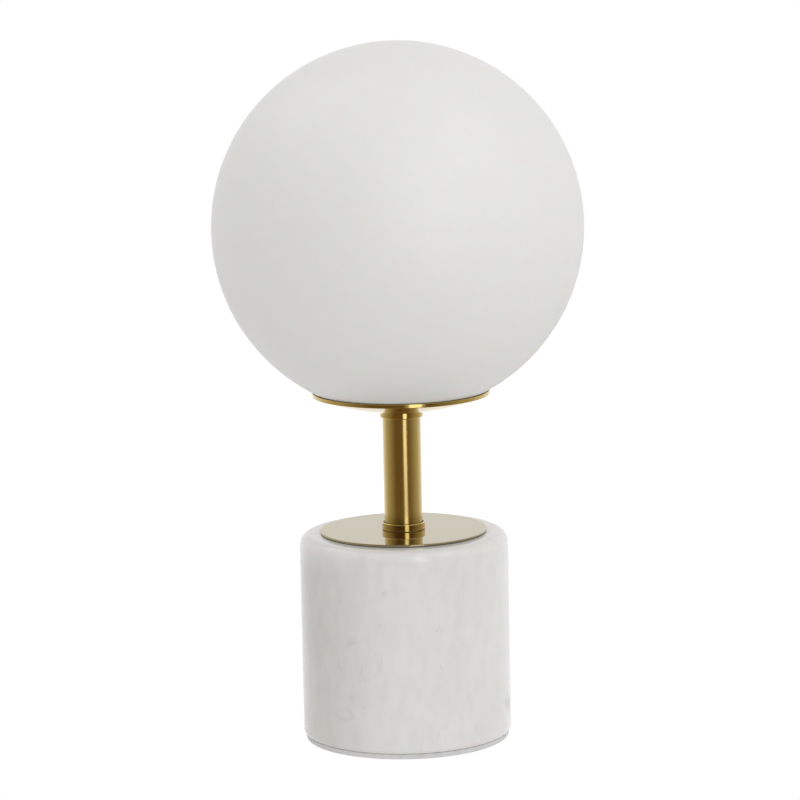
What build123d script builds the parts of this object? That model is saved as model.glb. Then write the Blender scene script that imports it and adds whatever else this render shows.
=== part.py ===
from build123d import *
import os
from math import atan2, cos, hypot, isclose, sin, sqrt

# Table lamp: an opal glass globe in a shallow brass dish, on a brass stem and a marble drum.
# Millimetres, +Z up. The lamp stands on z = 0 around the Z axis, its front faces -Y,
# and the cord's inlet is at the back, on +Y. A hollow threaded rod clamps it all together.

# Foot and marble drum
pad_radius = 55.3
pad_thickness = 2.8
marble_radius = 56.7
marble_height = 110.4
marble_top_fillet = 5.7
marble_bottom_fillet = 2.5
recess_radius = 36.0
recess_depth = 30.0

# Cord inlet in the back of the drum
inlet_height = 14.0            # its axis above the table
inlet_bore_radius = 3.5
bush_wall = 1.5
bush_flange_radius = 7.8
bush_flange_thickness = 1.8
bush_flange_sink = 0.9         # how far the flange stays behind the marble's surface
bush_mouth_fillet = 0.7

# Disc on the marble
plate_gasket_margin = 1.2      # the gasket stays this far inside the disc's edge
plate_gasket_thickness = 0.4
plate_radius = 45.2
plate_thickness = 1.2
plate_edge_fillet = 0.3

# Stem and its two collars
stem_radius = 10.45
stem_wall = 1.0
stem_length = 63.3
collar_radius = 11.75
collar_wall = 0.75
collar_floor = 1.0
bottom_collar_height = 4.1
top_collar_height = 3.5
collar_edge_fillet = 0.55
stem_bush_length = 6.0

# Dish
dish_radius = 48.2
dish_floor_radius = 12.5       # the flat middle, which the collar and the nut clamp
dish_rise = 8.8                # from the flat middle up to the lower edge of the rim
dish_bow = 1.1                 # how far its side bows out from a straight cone
dish_thickness = 0.8
dish_edge_fillet = 0.3

# Glass globe and what holds it
globe_radius = 100.0
globe_wall = 3.0
mouth_edge_fillet = 0.8
seal_from_rim = 7.2            # from the dish's rim in to the middle of the seal ring
mouth_from_seal = 5.0          # and from there in to the edge of the glass
seal_width = 5.0
seal_thickness = 0.65
globe_clearance = 0.27         # between the glass and what it rests on or slides past
spring_count = 3
spring_width = 8.0
spring_thickness = 0.5
spring_root = 2.0              # how far a leaf overlaps the spring's middle ring
spring_elbow = 2.8             # size of the bend that leads up to the glass's edge
spring_height = 15.0           # from the glass's edge up to the tip
spring_lean = 3.0              # how far the tip leans in, to guide the glass on
spring_bend = 1.2

# Threaded rod, its nuts and washers
rod_radius = 4.95
rod_bore_radius = 3.6
rod_clearance = 0.05           # around the rod, in everything it passes through
rod_hole_clearance = 0.55      # around the rod, in the marble
nut_across_flats = 14.0
base_nut_height = 5.0
dish_nut_height = 3.0
washer_radius = 9.0
washer_thickness = 0.8
rod_end_below_nut = 1.5
clamp_disc_radius = 32.0
clamp_disc_thickness = 2.0
tag_thickness = 0.6
tag_radius = 8.0
tag_reach = 18.5               # from the axis to the end of its tongue
tag_width = 5.0
tag_root = 1.0                 # how far its tongue starts inside the ring

# Terminal block under the clamp disc
block_width = 25.0
block_depth = 13.0
block_height = 13.0
block_from_axis = 22.0
pole_spacing = 8.0
pole_radius = 2.6
pole_bore_radius = 1.5
pole_height = 9.0
pole_screw_radius = 1.2
fixing_radius = 1.15

# Inner leads
lead_radius = 0.85
lead_spacing = 3.0             # between the two that run up the rod
lead_bottom = 8.0              # lowest height of their loops
lead_bend = 5.5
lead_top_bend = 4.5
lead_grip = 4.0                # length of a lead's end inside a terminal

# Lampholder, E14
holder_radius = 14.0
holder_wall = 1.5
holder_cap_height = 22.0
holder_floor = 2.5
holder_boss_radius = 8.0
holder_boss_height = 6.0
holder_cap_fillet = 3.0
spigot_height = 3.0            # of the cap's rim, which goes inside the sleeve
spigot_step = 0.8
holder_fit = 0.1               # clearance between the lampholder's own shells
sleeve_height = 31.0
sleeve_wall = 2.0
sleeve_lip_radius = 9.6
sleeve_lip_height = 2.0
sleeve_edge_fillet = 0.8
core_depth = 4.0               # of the core, below the cap's rim
core_flange_thickness = 2.0
core_post_radius = 8.8
core_post_height = 3.0
shell_bore_radius = 7.3
shell_height = 18.0
contact_thickness = 0.4
contact_width = 3.2
contact_lift = 2.0             # how far the middle contact springs up
terminal_from_axis = 7.0
terminal_length = 5.0
terminal_width = 6.0
terminal_height = 8.0
terminal_bore_radius = 1.1
terminal_screw_radius = 1.0
terminal_screw_head = 1.8
terminal_head_height = 1.0
contact_leg_place = 5.6

# Bulb, E14 golf ball
bulb_clearance = 0.1           # between its tip and the middle contact
bulb_radius = 22.5
bulb_wall = 1.2
tip_radius = 2.4
tip_height = 1.5
insulator_height = 3.5
insulator_top_radius = 5.4
screw_root_radius = 6.1
screw_crest_radius = 6.9
screw_pitch = 2.82
screw_turns = 4.5
screw_length = 14.5
screw_wall = 0.5
ridge_foot = 1.88              # width of the thread's ridge where it meets the cap
ridge_crest = 0.7
bulb_collar_radius = 8.4
bulb_collar_height = 3.5
housing_height = 20.0
housing_rim_radius = 20.0
housing_bulge = 1.2            # how far its side bows out from a straight cone
board_seat_step = 1.6          # from the housing's rim in to the seat of the board
board_thickness = 1.6
board_fit = 0.1

# Heights worked out from the table up
marble_bottom = pad_thickness
marble_top = marble_bottom + marble_height
recess_roof = marble_bottom + recess_depth
plate_bottom = marble_top + plate_gasket_thickness
plate_top = plate_bottom + plate_thickness
stem_bottom = plate_top + collar_floor
stem_top = stem_bottom + stem_length
dish_bottom = stem_top + collar_floor
dish_floor_top = dish_bottom + dish_thickness
spring_top = dish_floor_top + spring_thickness
dish_nut_bottom = spring_top + washer_thickness
holder_bottom = dish_nut_bottom + dish_nut_height
cap_top = holder_bottom + holder_cap_height
core_flange_top = cap_top + core_flange_thickness
core_top = core_flange_top + core_post_height
rod_top = holder_bottom + holder_boss_height
tag_bottom = recess_roof - clamp_disc_thickness - tag_thickness
base_nut_top = tag_bottom - washer_thickness
base_nut_bottom = base_nut_top - base_nut_height
rod_bottom = base_nut_bottom - rod_end_below_nut
rod_hole_radius = rod_radius + rod_clearance
block_top = recess_roof - clamp_disc_thickness
block_bottom = block_top - block_height
block_front = -block_from_axis - block_depth / 2
pole_places = [-pole_spacing, 0, pole_spacing]
pole_screw_height = block_bottom + pole_height / 2
fixing_places = [-pole_spacing / 2, pole_spacing / 2]
tag_lead_place = tag_reach - tag_width / 2
terminal_bottom = cap_top - terminal_height
spigot_radius = holder_radius - spigot_step
shell_lug_place = shell_bore_radius + contact_thickness / 2
tip_bottom = core_top + contact_lift + contact_thickness + bulb_clearance
screw_bottom = tip_bottom + tip_height + insulator_height
collar_bottom = screw_bottom + screw_length
housing_bottom = collar_bottom + bulb_collar_height
housing_top = housing_bottom + housing_height
board_bottom = housing_top - board_thickness
board_seat_radius = housing_rim_radius - board_seat_step

# The dish's side is an arc from the flat middle to the rim, bowed down from the straight line
side_run = dish_radius - dish_floor_radius
side_length = hypot(side_run, dish_rise)
side_slope = atan2(dish_rise, side_run)
side_arc_radius = side_length ** 2 / (8 * dish_bow) + dish_bow / 2
side_centre_up = side_arc_radius - dish_bow
side_centre_radius = dish_floor_radius + side_run / 2 - side_centre_up * sin(side_slope)
side_centre_height = dish_bottom + dish_rise / 2 + side_centre_up * cos(side_slope)


def dish_under(radius):
    """Height of the dish's lower surface at a radius on its side."""
    return side_centre_height - sqrt(side_arc_radius ** 2 - (radius - side_centre_radius) ** 2)


def dish_over(radius):
    """Height of the dish's upper surface at a radius on its side."""
    return dish_under(radius) + dish_thickness


# The globe's middle stands where its glass clears the seal in the dish
seal_radius = dish_radius - seal_from_rim
mouth_radius = seal_radius - mouth_from_seal
globe_centre = (dish_over(seal_radius) + seal_thickness + globe_clearance
                + sqrt(globe_radius ** 2 - seal_radius ** 2))


def globe_under(radius, gap=0.0):
    """Height of the globe's lower outer surface, or of a surface that stays a gap outside it."""
    return globe_centre - sqrt((globe_radius + gap) ** 2 - radius ** 2)


def at_height(height):
    """A place on the lamp's axis."""
    return Pos(0, 0, height)


def turned(*outline):
    """A solid turned about the lamp's axis, from corners given as (radius, height)."""
    return revolve(make_face(Polyline(*[(r, 0, z) for r, z in outline], close=True)), Axis.Z)


def ring(outer, inner, bottom, height):
    """A flat ring around the lamp's axis."""
    top = bottom + height
    return turned((inner, bottom), (outer, bottom), (outer, top), (inner, top))


def rod(radius, bottom, height):
    """An upright round bar on the lamp's axis."""
    return at_height(bottom) * Cylinder(radius, height, align=(Align.CENTER, Align.CENTER, Align.MIN))


def bar(x, y, z, width, depth, height):
    """A block with its middle at x, y and its underside at z."""
    return Pos(x, y, z) * Box(width, depth, height, align=(Align.CENTER, Align.CENTER, Align.MIN))


def circles(solid, radius):
    """The round edges of a solid that have this radius, lowest first."""
    found = [e for e in solid.edges().filter_by(GeomType.CIRCLE) if isclose(e.radius, radius)]
    return sorted(found, key=lambda e: e.arc_center.Z)


def arc_points(height_at, inner, outer):
    """Three points (radius, height) on a turned surface, from the inner radius to the outer."""
    return [(r, 0, height_at(r)) for r in (inner, (inner + outer) / 2, outer)]


def hexagon_nut(bottom, height):
    """A nut on the rod, with its corners turned off."""
    nut = extrude(at_height(bottom) * RegularPolygon(nut_across_flats / 2, 6, major_radius=False), height)
    turned_off = turned((0, bottom), (nut_across_flats / 2, bottom),
                        (nut_across_flats / 2 + height / 2, bottom + height / 2),
                        (nut_across_flats / 2, bottom + height), (0, bottom + height))
    return (nut & turned_off) - rod(rod_hole_radius, bottom, height)


def lead(*route, bends):
    """An insulated wire along straight runs joined by arcs."""
    path = FilletPolyline(*route, radius=bends)
    return sweep(Plane(path @ 0, z_dir=path % 0) * Circle(lead_radius), path=path)


# Foot and marble

def make_foot_pad():
    return rod(pad_radius, 0, pad_thickness)


def inlet_bar(radius, start, end):
    """A round bar along the inlet's axis, between two distances from the lamp's axis."""
    upright = Cylinder(radius, end - start, align=(Align.CENTER, Align.CENTER, Align.MIN))
    return Pos(0, start, inlet_height) * Rot(-90, 0, 0) * upright


flange_face = marble_radius - bush_flange_sink
flange_seat = flange_face - bush_flange_thickness
bush_radius = inlet_bore_radius + bush_wall


def make_marble_base():
    drum = rod(marble_radius, marble_bottom, marble_height)
    drum = fillet(circles(drum, marble_radius)[-1], marble_top_fillet)
    drum = fillet(circles(drum, marble_radius)[0], marble_bottom_fillet)
    drum -= rod(recess_radius, marble_bottom, recess_depth)
    drum -= rod(rod_radius + rod_hole_clearance, recess_roof, marble_top - recess_roof)
    drum -= inlet_bar(bush_radius, 0, marble_radius)
    drum -= inlet_bar(bush_flange_radius + holder_fit, flange_seat, marble_radius)
    return drum


def make_cord_bush():
    bush = inlet_bar(bush_radius, recess_radius, flange_face)
    bush += inlet_bar(bush_flange_radius, flange_seat, flange_face)
    bush -= inlet_bar(inlet_bore_radius, recess_radius, flange_face)
    return fillet(circles(bush, inlet_bore_radius), bush_mouth_fillet)


# Disc, collars, stem

def make_plate_gasket():
    return ring(plate_radius - plate_gasket_margin, rod_hole_radius, marble_top, plate_gasket_thickness)


def make_base_plate():
    plate = ring(plate_radius, rod_hole_radius, plate_bottom, plate_thickness)
    return fillet(circles(plate, plate_radius), plate_edge_fillet)


def collar(floor, rim, height):
    """A cup-shaped ring, whose floor lies at one height and whose rim reaches away from it."""
    up = 1 if rim > floor else -1
    cup = turned((rod_hole_radius, floor), (collar_radius, floor), (collar_radius, floor + up * height),
                 (collar_radius - collar_wall, floor + up * height),
                 (collar_radius - collar_wall, floor + up * collar_floor),
                 (rod_hole_radius, floor + up * collar_floor))
    return fillet(circles(cup, collar_radius), collar_edge_fillet)


def make_bottom_collar():
    return collar(plate_top, plate_top + bottom_collar_height, bottom_collar_height)


def make_top_collar():
    return collar(dish_bottom, dish_bottom - top_collar_height, top_collar_height)


def make_stem_tube():
    return ring(stem_radius, stem_radius - stem_wall, stem_bottom, stem_length)


def stem_bush(bottom):
    return ring(stem_radius - stem_wall, rod_hole_radius, bottom, stem_bush_length)


def make_lower_bush():
    return stem_bush(stem_bottom)


def make_upper_bush():
    return stem_bush(stem_top - stem_bush_length)


# Dish, globe and springs

def make_globe_dish():
    # The rim turns up and ends just short of the glass
    lip_inside = dish_radius - dish_thickness
    lip_top = globe_under(lip_inside, globe_clearance)
    start, middle, end = arc_points(dish_under, dish_floor_radius, dish_radius)
    over = arc_points(dish_over, dish_floor_radius, lip_inside)[::-1]
    outline = [ThreePointArc(start, middle, end),
               Polyline(end, (dish_radius, 0, lip_top), (lip_inside, 0, lip_top), over[0]),
               ThreePointArc(*over),
               Polyline(over[2], (rod_hole_radius, 0, dish_floor_top), (rod_hole_radius, 0, dish_bottom), start)]
    dish = revolve(make_face([e for line in outline for e in line.edges()]), Axis.Z)
    return fillet(circles(dish, dish_radius), dish_edge_fillet)


def make_globe_seal():
    inner, outer = seal_radius - seal_width / 2, seal_radius + seal_width / 2
    below = arc_points(dish_over, inner, outer)
    above = arc_points(lambda r: globe_under(r, globe_clearance), inner, outer)
    outline = [ThreePointArc(*below), Line(below[2], above[2]), ThreePointArc(*above[::-1]),
               Line(above[0], below[0])]
    return revolve(make_face([e for line in outline for e in line.edges()]), Axis.Z)


def make_glass_globe():
    globe = at_height(globe_centre) * (Sphere(globe_radius) - Sphere(globe_radius - globe_wall))
    globe -= rod(mouth_radius, globe_centre - globe_radius, globe_radius)
    return fillet(circles(globe, mouth_radius), mouth_edge_fillet)


def strip(route, bend, thickness, width):
    """A bent metal strip, from a route of (radius, height) points; it is as wide along Y."""
    path = FilletPolyline(*route, radius=bend)
    return extrude(Plane.XZ * trace(path, thickness), width / 2, both=True)


def make_globe_spring():
    middle = dish_floor_top + spring_thickness / 2
    first_bend = sqrt(dish_floor_radius ** 2 - (spring_width / 2) ** 2)
    widest = sqrt((mouth_radius - globe_clearance) ** 2 - (spring_width / 2) ** 2) - spring_thickness / 2
    glass_edge = globe_under(mouth_radius)
    route = [(first_bend - spring_root, middle), (first_bend, middle),
             (widest - spring_elbow, glass_edge), (widest, glass_edge + spring_elbow),
             (widest - spring_lean, glass_edge + spring_height)]
    leaf = strip(route, spring_bend, spring_thickness, spring_width)
    spring = ring(dish_floor_radius, rod_hole_radius, dish_floor_top, spring_thickness)
    for i in range(spring_count):
        spring += Rot(0, 0, 90 + i * 360 / spring_count) * leaf
    return spring


# Rod, nuts and washers

def make_threaded_rod():
    return ring(rod_radius, rod_bore_radius, rod_bottom, rod_top - rod_bottom)


def make_dish_washer():
    return ring(washer_radius, rod_hole_radius, spring_top, washer_thickness)


def make_dish_nut():
    return hexagon_nut(dish_nut_bottom, dish_nut_height)


def make_clamp_disc():
    disc = ring(clamp_disc_radius, rod_hole_radius, block_top, clamp_disc_thickness)
    for x in fixing_places:
        disc -= Pos(x, -block_from_axis, 0) * rod(fixing_radius, block_top, clamp_disc_thickness)
    return disc


def make_earth_tag():
    tag = ring(tag_radius, rod_hole_radius, tag_bottom, tag_thickness)
    tongue_start = tag_radius - tag_root
    tongue = bar((tongue_start + tag_reach) / 2, 0, tag_bottom, tag_reach - tongue_start, tag_width,
                 tag_thickness)
    barrel = ring(lead_radius + tag_thickness, lead_radius, tag_bottom - lead_grip, lead_grip)
    return tag + tongue + Pos(tag_lead_place, 0, 0) * barrel


def make_base_washer():
    return ring(washer_radius, rod_hole_radius, base_nut_top, washer_thickness)


def make_base_nut():
    return hexagon_nut(base_nut_bottom, base_nut_height)


# Terminal block and inner leads

def at_pole(x):
    return Pos(x, -block_from_axis, 0)


def screw_bar(radius, start, length):
    """A round bar along Y at the height of the block's screws, from a distance in front."""
    return Pos(0, start, pole_screw_height) * Rot(-90, 0, 0) * Cylinder(
        radius, length, align=(Align.CENTER, Align.CENTER, Align.MIN))


def make_terminal_block():
    block = bar(0, -block_from_axis, block_bottom, block_width, block_depth, block_height)
    for x in pole_places:
        block -= at_pole(x) * rod(pole_radius, block_bottom, pole_height)
        block -= Pos(x, 0, 0) * screw_bar(pole_screw_radius, block_front, block_depth / 2)
    for x in fixing_places:
        block -= at_pole(x) * rod(fixing_radius, block_bottom, block_height)
    return block


def make_block_poles():
    poles = []
    for x in pole_places:
        pole = ring(pole_radius, pole_bore_radius, block_bottom, pole_height)
        pole -= Pos(0, block_from_axis, 0) * screw_bar(pole_screw_radius, block_front, block_depth / 2)
        poles.append(at_pole(x) * pole)
    return poles


def make_block_screws():
    length = block_depth / 2 - pole_bore_radius
    return [Pos(x, 0, 0) * screw_bar(pole_screw_radius, block_front, length) for x in pole_places]


def make_block_fixings():
    length = block_height + clamp_disc_thickness
    return [at_pole(x) * rod(fixing_radius, block_bottom, length) for x in fixing_places]


def rod_lead(side, pole):
    """A lead from a terminal of the lampholder, down the rod and up into the block."""
    upper, lower = side * terminal_from_axis, side * lead_spacing / 2
    step = terminal_from_axis - lead_spacing / 2
    return lead((upper, 0, terminal_bottom + lead_grip), (upper, 0, rod_top + step),
                (lower, 0, rod_top), (lower, 0, lead_bottom),
                (pole, -block_from_axis, lead_bottom), (pole, -block_from_axis, block_bottom + lead_grip),
                bends=[lead_top_bend, lead_top_bend, lead_bend, lead_bend])


def make_live_lead():
    return rod_lead(1, pole_places[1])


def make_neutral_lead():
    return rod_lead(-1, pole_places[0])


def make_earth_lead():
    pole = pole_places[2]
    return lead((tag_lead_place, 0, tag_bottom), (tag_lead_place, 0, lead_bottom),
                (pole, -block_from_axis, lead_bottom), (pole, -block_from_axis, block_bottom + lead_grip),
                bends=[lead_bend, lead_bend])


# Lampholder

def make_holder_cap():
    inner = holder_radius - holder_wall
    cap = rod(holder_radius, holder_bottom, holder_cap_height)
    cap = fillet(circles(cap, holder_radius)[0], holder_cap_fillet)
    cap -= rod(inner, holder_bottom + holder_floor, holder_cap_height)
    cap += rod(holder_boss_radius, holder_bottom + holder_floor, holder_boss_height - holder_floor)
    cap -= rod(rod_hole_radius, holder_bottom, holder_cap_height)
    return cap - ring(holder_radius, spigot_radius, cap_top - spigot_height, spigot_height)


def make_holder_sleeve():
    socket = spigot_radius + holder_fit
    inner = holder_radius - sleeve_wall
    bottom = cap_top - spigot_height
    top = bottom + sleeve_height
    sleeve = turned((socket, bottom), (holder_radius, bottom), (holder_radius, top),
                    (sleeve_lip_radius, top), (sleeve_lip_radius, top - sleeve_lip_height),
                    (inner, top - sleeve_lip_height), (inner, core_flange_top), (socket, core_flange_top))
    return fillet([circles(sleeve, holder_radius)[-1], circles(sleeve, sleeve_lip_radius)[-1]],
                  sleeve_edge_fillet)


def make_holder_core():
    core = rod(holder_radius - holder_wall - holder_fit, cap_top - core_depth, core_depth)
    core += rod(spigot_radius, cap_top, core_flange_thickness)
    core += rod(core_post_radius, core_flange_top, core_post_height)
    for side in (1, -1):
        core -= bar(side * terminal_from_axis, 0, cap_top - core_depth, terminal_length + 2 * holder_fit,
                    terminal_width + 2 * holder_fit, core_depth)
    for x in (shell_lug_place, -contact_leg_place):
        core -= bar(x, 0, cap_top, contact_thickness + 2 * holder_fit, contact_width + 2 * holder_fit,
                    core_top - cap_top)
    return core


def terminal_bar(radius, start, length):
    """A round bar along X at the height of the lampholder's terminal screws."""
    return Pos(start, 0, terminal_bottom + lead_grip / 2) * Rot(0, 90, 0) * Cylinder(
        radius, length, align=(Align.CENTER, Align.CENTER, Align.MIN))


def make_holder_terminals():
    terminal = bar(terminal_from_axis, 0, terminal_bottom, terminal_length, terminal_width, terminal_height)
    terminal -= Pos(terminal_from_axis, 0, 0) * rod(terminal_bore_radius, terminal_bottom, lead_grip)
    terminal -= terminal_bar(terminal_screw_radius, terminal_from_axis, terminal_length)
    return [terminal, Rot(0, 0, 180) * terminal]


def make_holder_screws():
    start = terminal_from_axis + lead_radius
    outer = terminal_from_axis + terminal_length / 2
    screw = terminal_bar(terminal_screw_radius, start, outer - start)
    screw += terminal_bar(terminal_screw_head, outer, terminal_head_height)
    return [screw, Rot(0, 0, 180) * screw]


def make_screw_shell():
    shell = ring(shell_bore_radius + contact_thickness, shell_bore_radius, core_top, shell_height)
    lug_height = core_top - cap_top + contact_thickness
    lug = bar(shell_lug_place, 0, cap_top, contact_thickness, contact_width, lug_height)
    return shell + lug


def make_centre_contact():
    middle = core_top + contact_thickness / 2
    route = [(-contact_leg_place, cap_top), (-contact_leg_place, middle),
             (-contact_leg_place / 2, middle), (-contact_thickness, middle + contact_lift),
             (contact_leg_place / 2, middle + contact_lift)]
    return strip(route, contact_thickness, contact_thickness, contact_width)


# Bulb

def make_bulb_tip():
    tip = rod(tip_radius, tip_bottom, tip_height)
    return fillet(circles(tip, tip_radius)[0], tip_height / 2)


def make_bulb_insulator():
    return turned((0, tip_bottom + tip_height), (tip_radius, tip_bottom + tip_height),
                  (insulator_top_radius, screw_bottom), (0, screw_bottom))


def make_bulb_cap():
    top = housing_bottom
    cap = turned((screw_root_radius - screw_wall, screw_bottom), (screw_root_radius, screw_bottom),
                 (screw_root_radius, collar_bottom), (bulb_collar_radius, top - screw_wall),
                 (bulb_collar_radius, top), (bulb_collar_radius - screw_wall, top),
                 (screw_root_radius - screw_wall, collar_bottom))
    thread = Helix(screw_pitch, screw_pitch * screw_turns, screw_root_radius)
    depth = screw_crest_radius - screw_root_radius
    sunk = -screw_wall / 2
    ridge = Polyline((sunk, -ridge_foot / 2), (depth, -ridge_crest / 2), (depth, ridge_crest / 2),
                     (sunk, ridge_foot / 2), close=True)
    section = Plane(thread @ 0, x_dir=(1, 0, 0), z_dir=thread % 0) * make_face(ridge)
    ridge_bottom = screw_bottom + (screw_length - screw_pitch * screw_turns) / 2
    return cap + at_height(ridge_bottom) * sweep(section, path=thread, is_frenet=True)


def bulged(inner, inner_height, outer, outer_height):
    """An arc in the radius-height plane that bows out from the straight line."""
    run, rise = outer - inner, outer_height - inner_height
    length = hypot(run, rise)
    middle = ((inner + outer) / 2 + housing_bulge * rise / length, 0,
              (inner_height + outer_height) / 2 - housing_bulge * run / length)
    return ThreePointArc((inner, 0, inner_height), middle, (outer, 0, outer_height))


def make_bulb_housing():
    outside = bulged(bulb_collar_radius, housing_bottom, housing_rim_radius, housing_top)
    inside = bulged(bulb_collar_radius - bulb_wall, housing_bottom,
                    housing_rim_radius - bulb_wall, housing_top)
    ends = [Line(outside @ 1, inside @ 1), Line(inside @ 0, outside @ 0)]
    outline = make_face([*outside.edges(), *ends[0].edges(), *inside.edges(), *ends[1].edges()])
    return revolve(outline, Axis.Z) - rod(board_seat_radius, board_bottom, board_thickness)


def make_led_board():
    return rod(board_seat_radius - board_fit, board_bottom, board_thickness)


def make_bulb_diffuser():
    centre = housing_top + sqrt(bulb_radius ** 2 - housing_rim_radius ** 2)
    ball = at_height(centre) * (Sphere(bulb_radius) - Sphere(bulb_radius - bulb_wall))
    return ball - rod(bulb_radius, centre - bulb_radius, housing_top - centre + bulb_radius)


# Each piece is written under its own name
makers = [
    make_foot_pad, make_marble_base, make_cord_bush,
    make_plate_gasket, make_base_plate, make_bottom_collar, make_stem_tube, make_lower_bush,
    make_upper_bush, make_top_collar, make_globe_dish, make_globe_seal, make_glass_globe,
    make_globe_spring, make_threaded_rod, make_dish_washer, make_dish_nut, make_clamp_disc,
    make_earth_tag, make_base_washer, make_base_nut, make_terminal_block, make_block_poles,
    make_block_screws, make_block_fixings, make_live_lead, make_neutral_lead, make_earth_lead,
    make_holder_cap, make_holder_core, make_holder_sleeve, make_holder_terminals,
    make_holder_screws, make_screw_shell, make_centre_contact, make_bulb_tip,
    make_bulb_insulator, make_bulb_cap, make_bulb_housing, make_led_board, make_bulb_diffuser,
]

os.makedirs("parts", exist_ok=True)
for maker in makers:
    name = maker.__name__.removeprefix("make_")
    made = maker()
    solids = made if isinstance(made, list) else [made]
    export_step(Compound(children=[s for piece in solids for s in piece.solids()]), f"parts/{name}.step")
    print(name)
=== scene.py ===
import math
import bpy
from mathutils import Matrix, Vector


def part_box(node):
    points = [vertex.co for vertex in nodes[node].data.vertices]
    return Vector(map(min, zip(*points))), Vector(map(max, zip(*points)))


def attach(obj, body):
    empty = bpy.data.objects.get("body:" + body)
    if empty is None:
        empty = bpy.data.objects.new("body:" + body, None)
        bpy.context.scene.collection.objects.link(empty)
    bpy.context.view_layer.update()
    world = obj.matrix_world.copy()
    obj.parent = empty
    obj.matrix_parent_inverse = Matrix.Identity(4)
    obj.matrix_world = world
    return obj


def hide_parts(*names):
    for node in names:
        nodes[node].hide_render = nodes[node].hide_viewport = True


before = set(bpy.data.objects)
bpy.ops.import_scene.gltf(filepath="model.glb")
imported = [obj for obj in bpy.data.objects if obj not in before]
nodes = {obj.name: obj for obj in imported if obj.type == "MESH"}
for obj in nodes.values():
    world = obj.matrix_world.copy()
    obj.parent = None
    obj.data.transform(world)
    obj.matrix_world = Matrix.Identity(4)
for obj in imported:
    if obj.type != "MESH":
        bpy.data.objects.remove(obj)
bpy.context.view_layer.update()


# Node helpers, shared by all the materials

def addNode(tree, kind, inputs={}, **settings):
    # inputs take a plain value or another node's output
    node = tree.nodes.new("ShaderNode" + kind)
    for name, value in settings.items():
        setattr(node, name, value)
    for name, value in inputs.items():
        if isinstance(value, bpy.types.NodeSocket):
            tree.links.new(value, node.inputs[name])
        else:
            node.inputs[name].default_value = value
    return node


def startMaterial(name, **shaderValues):
    # names like Base_Color stand for the shader's own sockets
    material = bpy.data.materials.new(name)
    material.use_nodes = True
    shader = material.node_tree.nodes["Principled BSDF"]
    for socket, value in shaderValues.items():
        shader.inputs[socket.replace("_", " ")].default_value = value
    return material, material.node_tree, shader


def objectPlace(tree):
    return addNode(tree, "TexCoord").outputs["Object"]


def noise(tree, place, size, detail=2.0, distortion=0.0):
    # size is the width of one blotch in metres
    return addNode(tree, "TexNoise", {"Vector": place, "Scale": 1 / size, "Detail": detail,
                                      "Distortion": distortion}).outputs["Fac"]


def remap(tree, value, low, high, newLow, newHigh):
    return addNode(tree, "MapRange", {"Value": value, "From Min": low, "From Max": high,
                                      "To Min": newLow, "To Max": newHigh}).outputs["Result"]


def maths(tree, operation, first, second=0.0):
    return addNode(tree, "Math", {0: first, 1: second}, operation=operation).outputs["Value"]


def blendColours(tree, factor, first, second):
    node = addNode(tree, "Mix", {"Factor": factor}, data_type="RGBA")
    for socket, value in ((node.inputs[6], first), (node.inputs[7], second)):
        if isinstance(value, bpy.types.NodeSocket):
            tree.links.new(value, socket)
        else:
            socket.default_value = (*value, 1)
    return node.outputs[2]


def bump(tree, shader, height, distance):
    # distance is the real height of the relief in metres
    normal = addNode(tree, "Bump", {"Height": height, "Distance": distance}).outputs["Normal"]
    tree.links.new(normal, shader.inputs["Normal"])


def roughen(tree, shader, pattern, middle, drift):
    tree.links.new(remap(tree, pattern, 0.3, 0.7, middle - drift, middle + drift),
                   shader.inputs["Roughness"])


def dress(material, *names):
    for name in names:
        mesh = nodes[name].data
        mesh.materials.clear()
        mesh.materials.append(material)


# Modelling helpers: each piece starts from a primitive and is shaped in edit mode

def startPiece(name, primitive, **placing):
    bpy.ops.object.select_all(action="DESELECT")
    getattr(bpy.ops.mesh, f"primitive_{primitive}_add")(**placing)
    piece = bpy.context.object
    piece.name = name
    bpy.ops.object.transform_apply()
    return piece


def pick(piece, kind, test):
    # leaves the piece in edit mode with only the chosen faces or edges selected
    bpy.ops.object.mode_set(mode="EDIT")
    bpy.ops.mesh.select_mode(type=kind)
    bpy.ops.mesh.select_all(action="DESELECT")
    bpy.ops.object.mode_set(mode="OBJECT")
    mesh = piece.data
    if kind == "FACE":
        for face in mesh.polygons:
            face.select = test(face.center, face.normal)
    else:
        for edge in mesh.edges:
            start, end = (mesh.vertices[i].co for i in edge.vertices)
            edge.select = test(start, end)
    bpy.ops.object.mode_set(mode="EDIT")


def fromAxis(point):
    return math.hypot(point.x, point.y)


def onRing(radius, height, near=0.00002):
    # picks the edges that lie on a ring around the lamp's axis
    def test(start, end):
        return all(abs(fromAxis(p) - radius) < near and abs(p.z - height) < near for p in (start, end))
    return test


def finishPiece(piece, material, slot, body, *replaced, smoothAngle=35):
    bpy.ops.object.mode_set(mode="EDIT")
    bpy.ops.mesh.select_all(action="SELECT")
    bpy.ops.mesh.remove_doubles(threshold=0.000001)
    bpy.ops.mesh.normals_make_consistent(inside=False)
    bpy.ops.object.mode_set(mode="OBJECT")
    bpy.ops.object.shade_smooth_by_angle(angle=math.radians(smoothAngle))
    piece.data.materials.clear()
    piece.data.materials.append(material)
    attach(piece, body)
    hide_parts(*replaced)


# Opal glass globe

opalLook = {
    "glass": (0.818, 0.800, 0.785),
    "thicker": (0.838, 0.820, 0.805),   # faint drift of the milky layer
    "driftSize": 0.09,
    "satin": 0.42,
    "satinDrift": 0.04,
    "etchSize": 0.0006,
    "etchDepth": 0.000004,
    "glow": 0.25,                      # share of the light that wanders inside the wall
    "glowReach": 0.006,
}


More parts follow.
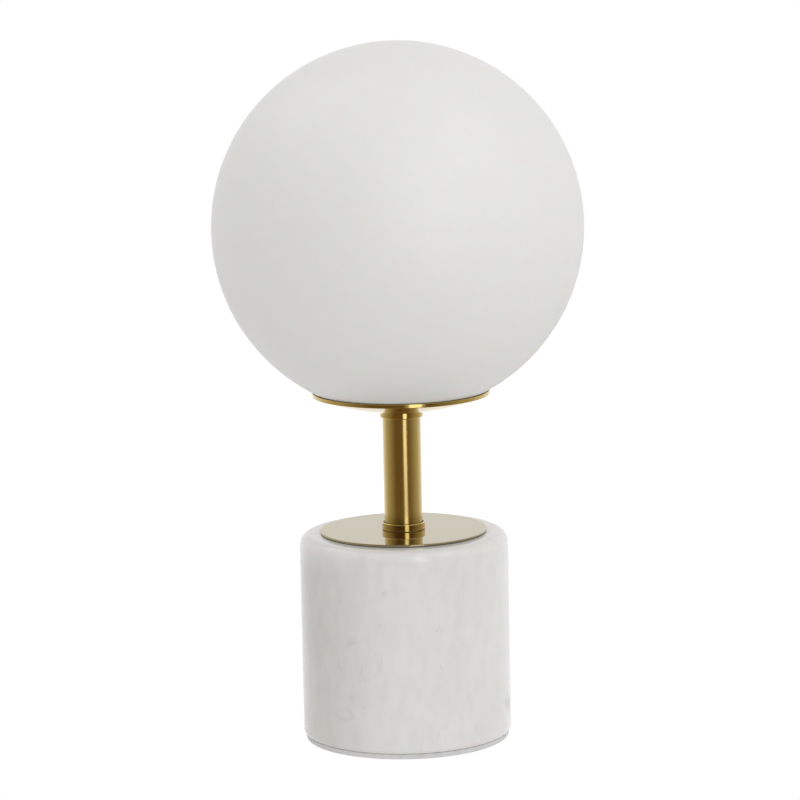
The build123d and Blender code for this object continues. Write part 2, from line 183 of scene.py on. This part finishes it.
def makeOpalGlass(look):
    material, tree, shader = startMaterial("opalGlass", IOR=1.5, Subsurface_Weight=look["glow"],
                                           Subsurface_Scale=look["glowReach"])
    place = objectPlace(tree)
    drift = noise(tree, place, look["driftSize"], detail=1)
    tree.links.new(blendColours(tree, drift, look["glass"], look["thicker"]), shader.inputs["Base Color"])
    roughen(tree, shader, drift, look["satin"], look["satinDrift"])
    bump(tree, shader, noise(tree, place, look["etchSize"]), look["etchDepth"])
    return material


dress(makeOpalGlass(opalLook), "glass_globe")
print("opal glass done")


# Marble drum

marbleLook = {
    "white": (0.812, 0.806, 0.792),
    # the cloud tone is also the colour that the painted shade on the drum's left side blends towards
    "cloud": (0.60, 0.587, 0.57),
    "vein": (0.46, 0.455, 0.45),
    "cloudSize": 0.05,
    "cloudShare": 0.22,
    "mottleSize": 0.006,
    "mottleShare": 0.16,
    "paintedShadeSide": (-0.060, -0.018),      # painted shade on the drum's left side: X from fully shaded to unshaded
    "paintedShadeShare": 0.80,
    "paintedShadeEnds": (0.098, 0.110),        # heights between which the painted shade fades out below the lit top shoulder
    "veinSize": 0.045,
    "veinBreaks": 0.015,
    "veinWidth": 0.012,
    "veinStrength": 0.22,
    "speckSize": 0.0035,
    "speckStrength": 0.30,
    "inclusion": (0.0556, -0.0115, 0.0210),
    "inclusionReach": (0.0010, 0.0065),
    "inclusionStrength": 0.95,
    "inclusionRaggedness": 0.004,
    "glow": 0.12,
    "glowReach": 0.004,
    "polish": 0.11,
    "waveSize": 0.02,
    "waveDepth": 0.00002,
}


def makeMarble(look):
    material, tree, shader = startMaterial("marble", IOR=1.5, Subsurface_Weight=look["glow"],
                                           Subsurface_Scale=look["glowReach"], Roughness=look["polish"])
    place = objectPlace(tree)
    axes = addNode(tree, "SeparateXYZ", {"Vector": place}).outputs
    slanted = addNode(tree, "Mapping", {"Vector": place, "Rotation": (0.5, 0.3, 0.9),
                                        "Scale": (1, 1, 0.45)}).outputs["Vector"]
    cloud = noise(tree, slanted, look["cloudSize"], detail=4, distortion=0.3)
    mottle = noise(tree, slanted, look["mottleSize"], detail=6)
    hazeAndPaintedShade = maths(tree, "ADD", remap(tree, cloud, 0.4, 0.7, 0, look["cloudShare"]),
                 remap(tree, mottle, 0.4, 0.7, 0, look["mottleShare"]))
    # painted shade: the drum's left side is blended towards the cloud tone to stand in for the dimmer light
    # there, fading out below the top shoulder; cloud and mottle are the stone's own clouding
    fullyShaded, clear = look["paintedShadeSide"]
    paintedShadeSide = maths(tree, "MULTIPLY", remap(tree, axes["X"], clear, fullyShaded, 0, look["paintedShadeShare"]),
                     remap(tree, axes["Z"], *look["paintedShadeEnds"], 1, 0))
    hazeAndPaintedShade = maths(tree, "ADD", hazeAndPaintedShade, paintedShadeSide)
    colour = blendColours(tree, hazeAndPaintedShade, look["white"], look["cloud"])
    # thin broken veins where one noise crosses its middle and a second one lets them show
    fold = noise(tree, slanted, look["veinSize"], detail=4, distortion=0.6)
    nearFold = maths(tree, "ABSOLUTE", maths(tree, "SUBTRACT", fold, 0.5))
    vein = remap(tree, nearFold, 0.0, look["veinWidth"], look["veinStrength"], 0)
    shows = remap(tree, noise(tree, place, look["veinBreaks"]), 0.5, 0.65, 0, 1)
    speck = remap(tree, noise(tree, place, look["speckSize"], detail=1), 0.76, 0.84,
                  0, look["speckStrength"])
    spot = addNode(tree, "VectorMath", {0: place, 1: look["inclusion"]},
                   operation="DISTANCE").outputs["Value"]
    uneven = look["inclusionRaggedness"]
    ragged = maths(tree, "ADD", spot, remap(tree, mottle, 0.35, 0.65, -uneven, uneven))
    inclusion = remap(tree, ragged, *look["inclusionReach"], look["inclusionStrength"], 0)
    brokenVein = maths(tree, "MULTIPLY", vein, shows)
    dark = maths(tree, "MAXIMUM", maths(tree, "MAXIMUM", brokenVein, speck), inclusion)
    tree.links.new(blendColours(tree, dark, colour, look["vein"]), shader.inputs["Base Color"])
    bump(tree, shader, noise(tree, place, look["waveSize"]), look["waveDepth"])
    return material


dress(makeMarble(marbleLook), "marble_base")
print("marble done")


# Brass: stem, collars, dish and disc

brassLooks = {
    "turnedBrass": {
        "metal": (0.60, 0.45, 0.16), "edge": (1.0, 0.97, 0.92), "roughness": 0.20, "brushing": 0.3,
        "lacquer": 1.0, "lineSize": 0.00012, "lineDepth": 0.0000004, "on": ["stem_tube"],
    },
    "spunBrass": {
        "metal": (0.60, 0.44, 0.15), "edge": (1.0, 0.98, 0.95), "roughness": 0.10,
        "brushing": 0.20, "lacquer": 0.5, "lineSize": 0.0002, "lineDepth": 0.0000003,
        "on": ["globe_dish", "top_collar", "bottom_collar"],
    },
    "polishedBrass": {
        "metal": (0.425, 0.367, 0.232), "edge": (1.0, 1.0, 1.0), "roughness": 0.05,
        "brushing": 0.0, "lacquer": 0.0, "lineSize": 0.0003, "lineDepth": 0.0000002,
        "on": ["base_plate"],
    },
}

brassWear = {
    "lacquerRoughness": 0.15,
    "smudgeSize": 0.02,
    "unevenness": 0.015,      # how far lines and smudges each move the roughness
    "lineSlant": 0.02,
}


def makeTurnedMetal(name, look, wear):
    # fine lines run round the lamp's axis, as a lathe leaves them
    material, tree, shader = startMaterial(name, Base_Color=(*look["metal"], 1), Metallic=1.0,
                                           Specular_Tint=(*look["edge"], 1), Anisotropic=look["brushing"],
                                           Anisotropic_Rotation=0.25, Coat_Weight=look["lacquer"],
                                           Coat_Roughness=wear["lacquerRoughness"])
    place = objectPlace(tree)
    axes = addNode(tree, "SeparateXYZ", {"Vector": place}).outputs
    flat = addNode(tree, "CombineXYZ", {"X": axes["X"], "Y": axes["Y"]}).outputs["Vector"]
    outward = addNode(tree, "VectorMath", {0: flat}, operation="LENGTH").outputs["Value"]
    slant = maths(tree, "MULTIPLY", axes["X"], wear["lineSlant"])
    turned = addNode(tree, "CombineXYZ", {"X": outward, "Y": slant, "Z": axes["Z"]}).outputs["Vector"]
    lines = noise(tree, turned, look["lineSize"], detail=3)
    smudge = noise(tree, place, wear["smudgeSize"], detail=3)
    drift, middle = wear["unevenness"], look["roughness"]
    uneven = maths(tree, "ADD", remap(tree, lines, 0.3, 0.7, -drift, drift),
                   remap(tree, smudge, 0.3, 0.7, middle - drift, middle + drift))
    tree.links.new(uneven, shader.inputs["Roughness"])
    tree.links.new(addNode(tree, "Tangent", direction_type="RADIAL", axis="Z").outputs["Tangent"],
                   shader.inputs["Tangent"])
    bump(tree, shader, lines, look["lineDepth"])
    return material


for name, look in brassLooks.items():
    dress(makeTurnedMetal(name, look, brassWear), *look["on"])
print("brass done")


# Plain metals: rod, nuts, washers, spring, contacts and the bulb's cap

metalLooks = {
    "zincSteel": {
        "metal": (0.58, 0.60, 0.62), "stain": (0.50, 0.51, 0.50), "roughness": 0.30,
        "grain": 0.0004, "grainDepth": 0.000003,
        "on": ["threaded_rod", "dish_washer", "dish_nut", "clamp_disc", "base_washer", "base_nut",
               "block_screws", "block_fixings", "holder_screws"],
    },
    "springSteel": {
        "metal": (0.52, 0.52, 0.53), "stain": (0.40, 0.40, 0.42), "roughness": 0.24,
        "grain": 0.0003, "grainDepth": 0.000002, "on": ["globe_spring"],
    },
    "contactBrass": {
        "metal": (0.70, 0.53, 0.25), "stain": (0.58, 0.40, 0.17), "roughness": 0.28,
        "grain": 0.0005, "grainDepth": 0.000002,
        "on": ["earth_tag", "block_poles", "holder_terminals", "screw_shell", "centre_contact"],
    },
    "nickel": {
        "metal": (0.66, 0.63, 0.58), "stain": (0.58, 0.55, 0.50), "roughness": 0.20,
        "grain": 0.0004, "grainDepth": 0.000002, "on": ["bulb_tip", "bulb_cap"],
    },
}


def makePlainMetal(name, look):
    material, tree, shader = startMaterial(name, Metallic=1.0)
    place = objectPlace(tree)
    stain = noise(tree, place, 0.006, detail=4, distortion=0.4)
    grain = noise(tree, place, look["grain"], detail=3)
    stained = remap(tree, stain, 0.45, 0.75, 0, 1)
    tree.links.new(blendColours(tree, stained, look["metal"], look["stain"]), shader.inputs["Base Color"])
    roughen(tree, shader, grain, look["roughness"], 0.06)
    bump(tree, shader, grain, look["grainDepth"])
    return material


for name, look in metalLooks.items():
    dress(makePlainMetal(name, look), *look["on"])
print("plain metals done")


# Moulded and pressed materials: two close tones, a fine grain, and a share of light that wanders inside

mouldedLooks = {
    "fibre": {
        "tone": (0.17, 0.13, 0.095), "other": (0.24, 0.19, 0.14), "patch": 0.002,
        "roughness": 0.85, "grain": 0.0004, "grainDepth": 0.00004, "glow": 0.0,
        "on": ["plate_gasket"],
    },
    "silicone": {
        "tone": (0.76, 0.76, 0.74), "other": (0.70, 0.70, 0.67), "patch": 0.012, "roughness": 0.45,
        "grain": 0.0005, "grainDepth": 0.000006, "glow": 0.4, "on": ["globe_seal"],
    },
    "nylon": {
        "tone": (0.78, 0.78, 0.75), "other": (0.73, 0.73, 0.69), "patch": 0.01, "roughness": 0.42,
        "grain": 0.0004, "grainDepth": 0.000008, "glow": 0.25,
        "on": ["lower_bush", "upper_bush", "cord_bush", "terminal_block"],
    },
    "brownSheath": {
        "tone": (0.15, 0.06, 0.028), "other": (0.19, 0.08, 0.04), "patch": 0.006,
        "roughness": 0.38, "grain": 0.0005, "grainDepth": 0.00001, "glow": 0.0,
        "on": ["live_lead"],
    },
    "blueSheath": {
        "tone": (0.03, 0.11, 0.4), "other": (0.04, 0.14, 0.47), "patch": 0.006, "roughness": 0.38,
        "grain": 0.0005, "grainDepth": 0.00001, "glow": 0.0, "on": ["neutral_lead"],
    },
    "holderPlastic": {
        "tone": (0.80, 0.80, 0.77), "other": (0.76, 0.76, 0.73), "patch": 0.015, "roughness": 0.30,
        "grain": 0.0007, "grainDepth": 0.000008, "glow": 0.1, "on": ["holder_cap"],
    },
    "porcelain": {
        "tone": (0.82, 0.80, 0.75), "other": (0.77, 0.75, 0.69), "patch": 0.008, "roughness": 0.6,
        "grain": 0.0003, "grainDepth": 0.00002, "glow": 0.15, "on": ["holder_core"],
    },
    "blackGlass": {
        "tone": (0.012, 0.012, 0.013), "other": (0.025, 0.024, 0.024), "patch": 0.003,
        "roughness": 0.18, "grain": 0.0006, "grainDepth": 0.00001, "glow": 0.0,
        "on": ["bulb_insulator"],
    },
    "bulbPlastic": {
        "tone": (0.83, 0.83, 0.82), "other": (0.80, 0.80, 0.785), "patch": 0.02, "roughness": 0.28,
        "grain": 0.0008, "grainDepth": 0.000006, "glow": 0.1, "on": ["bulb_housing"],
    },
    "diffuser": {
        "tone": (0.86, 0.86, 0.84), "other": (0.83, 0.83, 0.81), "patch": 0.02, "roughness": 0.5,
        "grain": 0.0005, "grainDepth": 0.000006, "glow": 0.5, "on": ["bulb_diffuser"],
    },
    "foam": {
        "tone": (0.72, 0.71, 0.71), "other": (0.64, 0.63, 0.63), "patch": 0.004, "roughness": 0.9,
        "grain": 0.0006, "grainDepth": 0.00012, "glow": 0.0, "on": [],
    },
    "board": {
        "tone": (0.78, 0.79, 0.77), "other": (0.72, 0.74, 0.71), "patch": 0.004, "roughness": 0.35,
        "grain": 0.0005, "grainDepth": 0.000006, "glow": 0.0, "on": [],
    },
    "chipResin": {
        "tone": (0.80, 0.62, 0.1), "other": (0.74, 0.54, 0.07), "patch": 0.001, "roughness": 0.30,
        "grain": 0.0002, "grainDepth": 0.000004, "glow": 0.30, "on": [],
    },
}


def makeMoulded(name, look):
    material, tree, shader = startMaterial(name, IOR=1.48, Subsurface_Weight=look["glow"],
                                           Subsurface_Scale=0.002)
    place = objectPlace(tree)
    patch = noise(tree, place, look["patch"], detail=3)
    grain = noise(tree, place, look["grain"], detail=3)
    tree.links.new(blendColours(tree, remap(tree, patch, 0.35, 0.65, 0, 1), look["tone"], look["other"]),
                   shader.inputs["Base Color"])
    roughen(tree, shader, grain, look["roughness"], 0.05)
    bump(tree, shader, grain, look["grainDepth"])
    return material


moulded = {name: makeMoulded(name, look) for name, look in mouldedLooks.items()}
for name, look in mouldedLooks.items():
    dress(moulded[name], *look["on"])
print("moulded materials done")


# Green and yellow sheath of the earth lead

earthLook = {
    "green": (0.03, 0.22, 0.05),
    "yellow": (0.75, 0.60, 0.03),
    "turn": 0.5,           # where round the wire the yellow starts
    "roughness": 0.38,
}


def makeEarthSheath(look):
    material, tree, shader = startMaterial("earthSheath", IOR=1.48)
    coords = addNode(tree, "TexCoord").outputs
    side = addNode(tree, "SeparateXYZ", {"Vector": coords["Normal"]}).outputs
    across = maths(tree, "ADD", side["X"], maths(tree, "MULTIPLY", side["Y"], look["turn"]))
    stripe = remap(tree, across, 0.08, 0.14, 0, 1)
    grain = noise(tree, coords["Object"], 0.0005, detail=3)
    tree.links.new(blendColours(tree, stripe, look["green"], look["yellow"]), shader.inputs["Base Color"])
    roughen(tree, shader, grain, look["roughness"], 0.05)
    bump(tree, shader, grain, 0.00001)
    return material


dress(makeEarthSheath(earthLook), "earth_lead")
print("earth lead done")


# Foam foot with a softened rim

footLook = {
    "sides": 160,
    "topRounding": 0.0005,
    "tableRounding": 0.0007,
    "faceInset": 0.004,
}


def makeFoot(look):
    low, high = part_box("foot_pad")
    radius = (high[0] - low[0]) / 2
    piece = startPiece("foamFoot", "cylinder", vertices=look["sides"], radius=radius, depth=high[2],
                       location=(0, 0, high[2] / 2))
    for height, rounding in ((high[2], look["topRounding"]), (0, look["tableRounding"])):
        pick(piece, "EDGE", onRing(radius, height))
        bpy.ops.mesh.bevel(offset=rounding, segments=4, affect="EDGES")
        bpy.ops.object.mode_set(mode="OBJECT")
    pick(piece, "FACE", lambda centre, normal: abs(normal.z) > 0.99 and fromAxis(centre) < 0.001)
    bpy.ops.mesh.inset(thickness=look["faceInset"])
    bpy.ops.object.mode_set(mode="OBJECT")
    finishPiece(piece, moulded["foam"], "foam", "base", "foot_pad")


makeFoot(footLook)
print("foam foot done")


# Lampholder sleeve with grip ribs

sleeveLook = {
    "sides": 96,
    "wall": 0.002,
    "lipRadius": 0.0096,
    "lipHeight": 0.002,
    "socketRadius": 0.0133,
    "ribFromTop": 0.0065,
    "ribFromBottom": 0.004,
    "grooveDepth": 0.0004,
    "seatAboveFoot": 0.005,    # where the core's flange is held
    "edge": 0.0008,
}


def makeSleeve(look):
    low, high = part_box("holder_sleeve")
    radius, bottom, top = (high[0] - low[0]) / 2, low[2], high[2]
    seat = bottom + look["seatAboveFoot"]
    piece = startPiece("ribbedSleeve", "cylinder", vertices=look["sides"], radius=radius, depth=top - bottom,
                       end_fill_type="NOTHING", location=(0, 0, (top + bottom) / 2))
    # the outside gets two rings of edges, where the ribs start and end
    for height in (bottom + look["ribFromBottom"], top - look["ribFromTop"]):
        pick(piece, "FACE", lambda centre, normal: True)
        bpy.ops.mesh.bisect(plane_co=(0, 0, height), plane_no=(0, 0, 1))
        bpy.ops.object.mode_set(mode="OBJECT")
    # the mouth is drawn in, down and out again, to the foot of the bore
    pick(piece, "EDGE", onRing(radius, top))
    insideSteps = [(look["lipRadius"], top), (look["lipRadius"], top - look["lipHeight"]),
                   (radius - look["wall"], top - look["lipHeight"]), (radius - look["wall"], seat),
                   (look["socketRadius"], seat), (look["socketRadius"], bottom)]
    place = (radius, top)
    for newRadius, height in insideSteps:
        bpy.ops.mesh.extrude_edges_move(TRANSFORM_OT_translate={"value": (0, 0, height - place[1])})
        scale = newRadius / place[0]
        bpy.ops.transform.resize(value=(scale, scale, 1), center_override=(0, 0, 0))
        place = (newRadius, height)
    bpy.ops.object.mode_set(mode="OBJECT")
    pick(piece, "EDGE", lambda start, end: onRing(radius, bottom)(start, end)
         or onRing(look["socketRadius"], bottom)(start, end))
    bpy.ops.mesh.bridge_edge_loops()
    bpy.ops.object.mode_set(mode="OBJECT")
    # every other face between the rings is pressed in, which leaves the ribs
    turn = 2 * math.pi / look["sides"]
    pick(piece, "FACE", lambda centre, normal: fromAxis(centre) > radius - 0.0001 and abs(normal.z) < 0.1
         and bottom + look["ribFromBottom"] < centre.z < top - look["ribFromTop"]
         and math.floor((math.atan2(centre.y, centre.x) + math.pi) / turn) % 2 == 0)
    bpy.ops.mesh.extrude_region_shrink_fatten(TRANSFORM_OT_shrink_fatten={"value": -look["grooveDepth"]})
    bpy.ops.object.mode_set(mode="OBJECT")
    for ring in (onRing(radius, top), onRing(look["lipRadius"], top)):
        pick(piece, "EDGE", ring)
        bpy.ops.mesh.bevel(offset=look["edge"], segments=4, affect="EDGES")
        bpy.ops.object.mode_set(mode="OBJECT")
    finishPiece(piece, moulded["holderPlastic"], "holder_plastic", "base", "holder_sleeve", smoothAngle=30)


makeSleeve(sleeveLook)
print("lampholder sleeve done")


# LED board with its chips

boardLook = {
    "chips": 10,
    "ringRadius": 0.0115,
    "chipLong": 0.0035,
    "chipWide": 0.0028,
    "chipHigh": 0.0007,
    "chipRim": 0.0004,
    "chipSunk": 0.00012,
    "sides": 96,
    "edge": 0.0002,
}


def makeBoard(look):
    low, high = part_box("led_board")
    radius, bottom, top = (high[0] - low[0]) / 2, low[2], high[2]
    board = startPiece("ledBoard", "cylinder", vertices=look["sides"], radius=radius, depth=top - bottom,
                       location=(0, 0, (top + bottom) / 2))
    pick(board, "EDGE", lambda start, end: onRing(radius, top)(start, end)
         or onRing(radius, bottom)(start, end))
    bpy.ops.mesh.bevel(offset=look["edge"], segments=2, affect="EDGES")
    bpy.ops.object.mode_set(mode="OBJECT")
    finishPiece(board, moulded["board"], "board", "bulb", "led_board")
    chips = []
    for i in range(look["chips"]):
        turn = 2 * math.pi * i / look["chips"]
        place = (look["ringRadius"] * math.cos(turn), look["ringRadius"] * math.sin(turn),
                 top + look["chipHigh"] / 2)
        chip = startPiece(f"ledChip{i}", "cube", size=1, location=place, rotation=(0, 0, turn),
                          scale=(look["chipLong"], look["chipWide"], look["chipHigh"]))
        pick(chip, "FACE", lambda centre, normal: normal.z > 0.9)
        bpy.ops.mesh.inset(thickness=look["chipRim"])
        bpy.ops.transform.translate(value=(0, 0, -look["chipSunk"]))
        bpy.ops.object.mode_set(mode="OBJECT")
        chips.append(chip)
    bpy.ops.object.select_all(action="DESELECT")
    for chip in chips:
        chip.select_set(True)
    bpy.context.view_layer.objects.active = chips[0]
    bpy.ops.object.join()
    chips[0].name = "ledChips"
    finishPiece(chips[0], moulded["chipResin"], "board", "bulb", "led_board")


makeBoard(boardLook)
print("LED board done")


# Camera, where the photographer stood

cameraLook = {
    "distance": 2.0,
    "height": 0.5164,
    "down": 9.394,        # degrees
    "lean": 1.17,
    "aimLeft": 0.0167,
    "lens": 168.8,
    "sensor": 36.0,
}


def makeCamera(look):
    camera = bpy.data.objects.new("camera", bpy.data.cameras.new("camera"))
    bpy.context.scene.collection.objects.link(camera)
    camera.data.lens = look["lens"]
    camera.data.sensor_width = look["sensor"]
    camera.matrix_world = (Matrix.Translation((0, -look["distance"], look["height"]))
                           @ Matrix.Rotation(math.radians(look["aimLeft"]), 4, "Z")
                           @ Matrix.Rotation(math.radians(90 - look["down"]), 4, "X")
                           @ Matrix.Rotation(math.radians(-look["lean"]), 4, "Z"))
    bpy.context.scene.camera = camera


makeCamera(cameraLook)
print("camera placed")


# Floor, world and lamps

floorLook = {"wide": 3.2, "front": 0.55, "back": 2.6, "tone": 0.8, "seenDiffuse": 0.35, "seenGlow": 0.8}

# the room as the brass shows it, dim and warm behind the camera, and as soft light for everything else;
# each tone gives way to the next between two values of the direction's own Y or Z
studioLook = {
    "shown": {"front": (0.10, 0.06, 0.02), "frontLow": (0.18, 0.115, 0.04), "side": (0.52, 0.47, 0.33),
              "back": (1.0, 1.0, 1.0), "top": (0.70, 0.70, 0.70)},
    "light": {"front": (0.64, 0.64, 0.64), "frontLow": (0.64, 0.64, 0.64), "side": (0.82, 0.82, 0.81),
              "back": (0.72, 0.72, 0.72), "top": (0.70, 0.70, 0.70)},
    "lowToFront": (-0.1, 0.1),
    "frontToSide": (-0.78, 0.0),
    "sideToBack": (0.1, 0.8),
    "levelToTop": (0.2, 0.9),
}

lampLooks = {
    "window": {"around": 18, "up": 17, "distance": 1.9, "wide": 0.60, "tall": 2.2, "power": 7.0},
    "windowEdge": {"around": 18, "up": 17, "distance": 1.95, "wide": 1.0, "tall": 2.3, "power": 2.0},
    "left": {"around": -122, "up": 47, "distance": 2.2, "wide": 1.1, "tall": 1.1, "power": 3.5},
    "above": {"around": 65, "up": 50, "distance": 2.2, "wide": 1.6, "tall": 1.6, "power": 4.8},
}


def makeFloor(look):
    bpy.ops.object.select_all(action="DESELECT")
    bpy.ops.mesh.primitive_plane_add(size=1, location=(0, (look["back"] - look["front"]) / 2, 0),
                                     scale=(look["wide"], look["front"] + look["back"], 1))
    floor = bpy.context.object
    floor.name = "floor"
    material = bpy.data.materials.new("paperFloor")
    material.use_nodes = True
    tree = material.node_tree
    tree.nodes.clear()
    rays = addNode(tree, "LightPath").outputs
    paper = addNode(tree, "BsdfDiffuse", {"Color": (look["tone"],) * 3 + (1,)})
    seenPaper = addNode(tree, "BsdfDiffuse", {"Color": (look["seenDiffuse"],) * 3 + (1,)})
    glow = addNode(tree, "Emission", {"Strength": look["seenGlow"]})
    seen = addNode(tree, "AddShader", {0: seenPaper.outputs[0], 1: glow.outputs[0]})
    mirrored = maths(tree, "MAXIMUM", rays["Is Glossy Ray"], rays["Is Transmission Ray"])
    shown = maths(tree, "MAXIMUM", rays["Is Camera Ray"], mirrored)
    mixed = addNode(tree, "MixShader", {0: shown, 1: paper.outputs[0], 2: seen.outputs[0]})
    addNode(tree, "OutputMaterial", {"Surface": mixed.outputs[0]})
    floor.data.materials.append(material)


def roomTones(tree, axes, look, tones):
    front = blendColours(tree, remap(tree, axes["Z"], *look["lowToFront"], 0, 1), tones["frontLow"],
                         tones["front"])
    level = blendColours(tree, remap(tree, axes["Y"], *look["frontToSide"], 0, 1), front, tones["side"])
    level = blendColours(tree, remap(tree, axes["Y"], *look["sideToBack"], 0, 1), level, tones["back"])
    return blendColours(tree, remap(tree, axes["Z"], *look["levelToTop"], 0, 1), level, tones["top"])


def makeWorld(look):
    world = bpy.data.worlds.new("studio")
    bpy.context.scene.world = world
    world.use_nodes = True
    tree = world.node_tree
    tree.nodes.clear()
    axes = addNode(tree, "SeparateXYZ", {"Vector": addNode(tree, "TexCoord").outputs["Generated"]}).outputs
    rays = addNode(tree, "LightPath").outputs
    mirrored = maths(tree, "MAXIMUM", rays["Is Glossy Ray"], rays["Is Transmission Ray"])
    room = blendColours(tree, mirrored, roomTones(tree, axes, look, look["light"]),
                        roomTones(tree, axes, look, look["shown"]))
    shown = blendColours(tree, rays["Is Camera Ray"], room, (1, 1, 1))
    background = addNode(tree, "Background", {"Color": shown})
    addNode(tree, "OutputWorld", {"Surface": background.outputs[0]})


def makeLamp(name, look, target):
    around, up = math.radians(look["around"]), math.radians(look["up"])
    away = Vector((math.sin(around) * math.cos(up), -math.cos(around) * math.cos(up), math.sin(up)))
    lamp = bpy.data.objects.new(name, bpy.data.lights.new(name, "AREA"))
    bpy.context.scene.collection.objects.link(lamp)
    lamp.data.shape = "RECTANGLE"
    lamp.data.size, lamp.data.size_y = look["wide"], look["tall"]
    lamp.data.energy = look["power"]
    lamp.matrix_world = Matrix.Translation(target + away * look["distance"]) @ away.to_track_quat(
        "Z", "Y").to_matrix().to_4x4()


makeFloor(floorLook)
makeWorld(studioLook)
lampsAimAt = Vector((0, 0, 0.2))
for name, look in lampLooks.items():
    makeLamp(name, look, lampsAimAt)
bpy.context.scene.view_settings.view_transform = "Standard"
print("studio lit")
